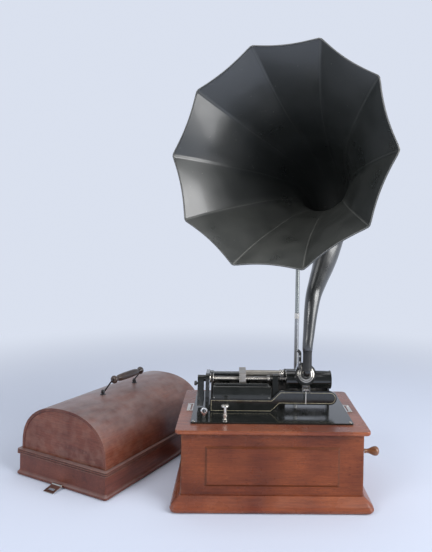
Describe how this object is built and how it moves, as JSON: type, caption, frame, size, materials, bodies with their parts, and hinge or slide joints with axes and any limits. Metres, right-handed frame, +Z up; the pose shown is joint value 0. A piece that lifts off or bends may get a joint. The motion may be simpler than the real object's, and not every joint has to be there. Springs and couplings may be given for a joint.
{
  "type": "horn phonograph",
  "caption": "Spring-driven cylinder phonograph in a moulded wooden box with a panelled flower horn on a swan neck, a crane that carries it, and its domed lid standing beside it.",
  "frame": {"origin": "centre of the cabinet's underside", "axes": "+Z up; -Y towards the front of the cabinet; +X to the right of someone facing the front, towards the winding handle"},
  "size_m": [0.915, 0.7996, 1.03],
  "materials": {
    "mahogany": "polished red-brown wood",
    "dark_mahogany": "darker worn wood, low sheen",
    "black_enamel": "gloss black stoved enamel with fine gold lines",
    "horn_black": "satin black paint on sheet steel, scuffed",
    "nickel": "bright nickel plate",
    "steel": "grey steel",
    "brass": "plain brass",
    "black_rubber": "matt black rubber",
    "leather": "brown belt leather"
  },
  "bodies": {
    "cabinet": {"base_moulding": "mahogany", "bottom_board": "dark_mahogany", "front_panel": "mahogany", "back_panel": "mahogany", "left_panel": "mahogany", "right_panel": "mahogany", "top_frame": "mahogany", "left_catch_plate": "nickel", "right_catch_plate": "nickel", "crank_escutcheon": "nickel", "bedplate": "black_enamel", "body_casting": "black_enamel", "feed_guard": "black_enamel", "left_post": "black_enamel", "right_post": "black_enamel", "back_rod": "nickel", "end_cover": "black_enamel", "motor_frame": "steel", "drive_belt": "leather", "crane_bracket": "black_enamel", "crane_tube": "steel", "crane_collar": "nickel"},
    "mandrel_shaft": {"feed_screw": "steel", "mandrel_pulley": "nickel", "mandrel": "black_enamel"},
    "barrel": {"spring_barrel": "brass"},
    "intermediate": {"intermediate_gear": "brass"},
    "drive": {"drive_shaft": "brass", "drive_pulley": "steel"},
    "governor_wheel": {"governor": "brass"},
    "crank": {"winding_shaft": "steel", "crank_arm": "nickel"},
    "crank_handle": {"crank_knob": "dark_mahogany"},
    "carriage": {"carriage_sleeve": "nickel", "feed_nut_arm": "nickel", "carriage_arm": "black_enamel", "reproducer": "black_enamel", "reproducer_ring": "nickel", "sound_elbow": "black_enamel", "rubber_cuff": "black_rubber"},
    "stylus": {"stylus_weight": "nickel"},
    "lifter": {"lift_lever": "nickel"},
    "horn": {"horn_neck": "horn_black", "horn_bell": "horn_black", "horn_ring": "nickel"},
    "crane": {"crane_rod": "nickel", "crane_hook": "nickel"},
    "speed_control": {"speed_knob": "nickel"},
    "start_control": {"start_lever": "nickel", "brake_arm": "steel"},
    "lid": {"lid_band": "dark_mahogany", "lid_shell": "dark_mahogany", "lid_end_near": "dark_mahogany", "lid_end_far": "dark_mahogany", "bail_eye_near": "steel", "bail_eye_far": "steel"},
    "lid_bail": {"bail": "steel", "bail_grip": "dark_mahogany"},
    "near_clip": {"lid_clip_near": "nickel"},
    "far_clip": {"lid_clip_far": "nickel"}
  },
  "joints": [
    {"name": "mandrel_spin", "type": "hinge", "parent": "cabinet", "child": "mandrel_shaft", "pos_m": [0, -0.005, 0.264], "axis": [1, 0, 0], "continuous": true},
    {"name": "drive_spin", "type": "hinge", "parent": "cabinet", "child": "drive", "pos_m": [-0.1, -0.008, 0.1], "axis": [1, 0, 0], "continuous": true},
    {"name": "intermediate_spin", "type": "hinge", "parent": "cabinet", "child": "intermediate", "pos_m": [-0.08, 0.0241, 0.08555], "axis": [1, 0, 0], "continuous": true},
    {"name": "barrel_spin", "type": "hinge", "parent": "cabinet", "child": "barrel", "pos_m": [-0.06, 0.028, 0.136], "axis": [1, 0, 0], "continuous": true},
    {"name": "governor_spin", "type": "hinge", "parent": "cabinet", "child": "governor_wheel", "pos_m": [-0.07, -0.03183, 0.1042], "axis": [1, 0, 0], "continuous": true},
    {"name": "crank_turn", "type": "hinge", "parent": "cabinet", "child": "crank", "pos_m": [0.2, 0.028, 0.136], "axis": [1, 0, 0], "continuous": true},
    {"name": "crank_knob_spin", "type": "hinge", "parent": "crank", "child": "crank_handle", "pos_m": [0.25, -0.05, 0.101], "axis": [1, 0, 0], "continuous": true},
    {"name": "carriage_slide", "type": "slide", "parent": "cabinet", "child": "carriage", "axis": [1, 0, 0], "range_m": [-0.04, 0.05]},
    {"name": "stylus_weight_hinge", "type": "hinge", "parent": "carriage", "child": "stylus", "pos_m": [0.085, -0.0269, 0.3043], "axis": [1, 0, 0], "range_deg": [-1.2, 3]},
    {"name": "lift_lever_swing", "type": "hinge", "parent": "carriage", "child": "lifter", "pos_m": [0.085, -0.0555, 0.2523], "axis": [1, 0, 0], "range_deg": [-70, 15]},
    {"name": "horn_swivel", "type": "hinge", "parent": "carriage", "child": "horn", "pos_m": [0.085, -0.07, 0.34], "axis": [0, 0, 1], "range_deg": [-40, 5]},
    {"name": "crane_swing", "type": "hinge", "parent": "cabinet", "child": "crane", "pos_m": [0.085, 0.165, 0.5], "axis": [0, 0, 1], "range_deg": [-9.8, 12.3]},
    {"name": "speed_knob_turn", "type": "hinge", "parent": "cabinet", "child": "speed_control", "pos_m": [-0.111, -0.096, 0.2], "axis": [0, 0, 1], "range_deg": [-360, 360]},
    {"name": "start_lever_turn", "type": "hinge", "parent": "cabinet", "child": "start_control", "pos_m": [-0.161, -0.062, 0.192], "axis": [0, 0, 1], "range_deg": [-25, 0]},
    {"name": "lid_lift", "type": "slide", "parent": "cabinet", "child": "lid", "axis": [0, 0, 1], "range_m": [0, 0.3]},
    {"name": "bail_swing", "type": "hinge", "parent": "lid", "child": "lid_bail", "pos_m": [-0.412, 0.151, 0.196], "axis": [0.4772, 0.8788, 0], "range_deg": [-125, 45]},
    {"name": "near_clip_swing", "type": "hinge", "parent": "lid", "child": "near_clip", "pos_m": [-0.51874, -0.04559, 0.008], "axis": [-0.8788, 0.4772, 0], "range_deg": [0, 85]},
    {"name": "far_clip_swing", "type": "hinge", "parent": "lid", "child": "far_clip", "pos_m": [-0.30526, 0.34759, 0.008], "axis": [0.8788, -0.4772, 0], "range_deg": [0, 85]}
  ],
  "couplings": [
    {"joint": "drive_spin", "follows": "mandrel_spin", "ratio": 0.5},
    {"joint": "intermediate_spin", "follows": "mandrel_spin", "ratio": -0.125},
    {"joint": "barrel_spin", "follows": "mandrel_spin", "ratio": 0.025},
    {"joint": "governor_spin", "follows": "mandrel_spin", "ratio": -2},
    {"joint": "crane_swing", "follows": "carriage_slide", "rad_per_m": 4.2553}
  ]
}
